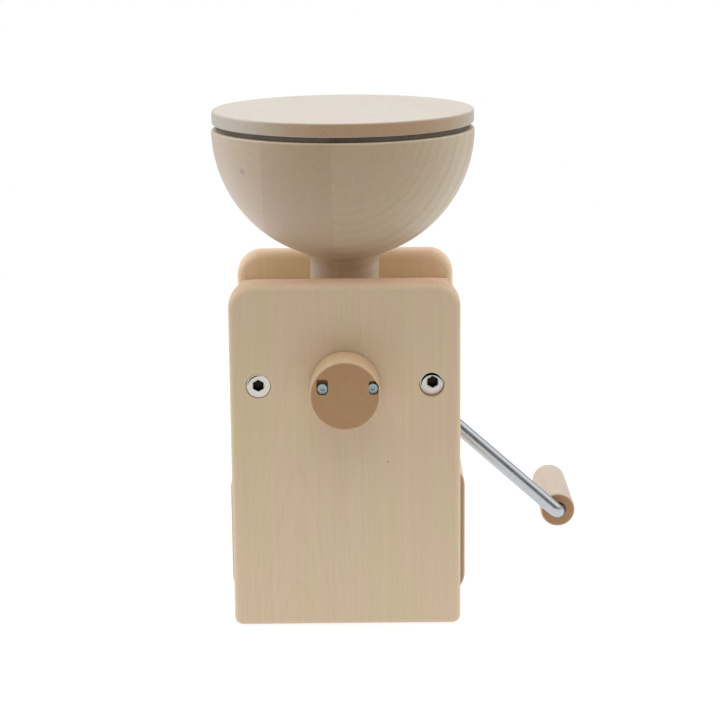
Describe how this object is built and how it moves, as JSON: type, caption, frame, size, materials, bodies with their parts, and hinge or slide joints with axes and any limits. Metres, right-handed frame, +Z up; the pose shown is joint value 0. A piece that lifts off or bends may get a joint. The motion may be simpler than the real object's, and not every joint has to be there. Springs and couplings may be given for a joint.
{
  "type": "hand grain mill",
  "caption": "Hand-cranked wooden grain mill with a round lidded hopper, upright grinding stones on a horizontal shaft, a grind-setting knob and a sliding flour drawer.",
  "frame": {"origin": "middle of the standing surface, straight under the axis of the hopper", "axes": "+Z up along the hopper's axis, the front board and its knob towards -Y, the crank towards +Y, the shaft along Y at z = 0.168"},
  "size_m": [0.2624, 0.2928, 0.345],
  "materials": {
    "beech": "pale sanded beech, oiled thinly, satin",
    "beech_end": "beech dowel, browner on its end grain",
    "zinc": "bright zinc-plated steel",
    "steel": "turned plain steel",
    "brass": "turned bearing brass",
    "rubber": "matte black rubber",
    "seal_rubber": "matte dark grey-brown seal",
    "stone": "bonded corundum, coarse and matte"
  },
  "bodies": {
    "frame": {"front_board": "beech", "back_board": "beech", "base_board": "beech", "mill_block": "beech", "base_dowel_front_left": "beech_end", "base_dowel_front_right": "beech_end", "base_dowel_back_left": "beech_end", "base_dowel_back_right": "beech_end", "rubber_pad_front_left": "rubber", "rubber_pad_front_right": "rubber", "rubber_pad_back_left": "rubber", "rubber_pad_back_right": "rubber", "body_screw_front_left": "zinc", "body_screw_front_right": "zinc", "body_screw_back_left": "zinc", "body_screw_back_right": "zinc", "body_washer_front_left": "zinc", "body_washer_front_right": "zinc", "body_washer_back_left": "zinc", "body_washer_back_right": "zinc", "threaded_insert_front_left": "brass", "threaded_insert_front_right": "brass", "threaded_insert_back_left": "brass", "threaded_insert_back_right": "brass", "fixed_stone_plate": "steel", "fixed_stone": "stone", "plate_screw_1": "zinc", "plate_screw_2": "zinc", "plate_screw_3": "zinc", "feed_sleeve": "steel", "inner_bush": "brass", "rear_bush": "brass", "return_spring": "steel", "threaded_bush": "brass"},
    "thrust": {"thrust_ball": "steel"},
    "knob": {"adjusting_knob": "beech", "adjusting_spindle": "steel", "knob_screw_left": "zinc", "knob_screw_right": "zinc"},
    "rotor": {"main_shaft": "steel", "shaft_collar": "steel", "running_stone": "stone", "stone_carrier": "steel", "feed_auger": "steel", "crank_hub": "zinc", "hub_set_screw_1": "steel", "hub_set_screw_2": "steel", "crank_rod": "zinc", "grip_washer": "zinc", "grip_screw": "zinc"},
    "grip": {"crank_grip": "beech"},
    "hopper": {"hopper_bowl": "beech"},
    "lid": {"lid": "beech", "lid_seal": "seal_rubber"},
    "drawer": {"drawer_left_end": "beech", "drawer_right_end": "beech", "drawer_front_side": "beech", "drawer_back_side": "beech", "drawer_bottom": "beech"}
  },
  "joints": [
    {"name": "grind_travel", "type": "slide", "parent": "frame", "child": "thrust", "axis": [0, 1, 0], "range_m": [-0.002, 0.0006]},
    {"name": "knob_turn", "type": "hinge", "parent": "thrust", "child": "knob", "pos_m": [0, -0.085, 0.168], "axis": [0, 1, 0], "range_deg": [-360, 108]},
    {"name": "crank_turn", "type": "hinge", "parent": "thrust", "child": "rotor", "pos_m": [0, 0.08, 0.168], "axis": [0, 1, 0], "continuous": true},
    {"name": "grip_spin", "type": "hinge", "parent": "rotor", "child": "grip", "pos_m": [0.15993, 0.15, 0.02476], "axis": [0, 1, 0], "continuous": true},
    {"name": "hopper_lift", "type": "slide", "parent": "frame", "child": "hopper", "axis": [0, 0, 1], "range_m": [0, 0.06]},
    {"name": "lid_lift", "type": "slide", "parent": "hopper", "child": "lid", "axis": [0, 0, 1], "range_m": [0, 0.04]},
    {"name": "drawer_slide", "type": "slide", "parent": "frame", "child": "drawer", "axis": [1, 0, 0], "range_m": [-0.165, 0.165]}
  ],
  "couplings": [
    {"joint": "knob_turn", "follows": "grind_travel", "rad_per_m": 3141.5}
  ]
}
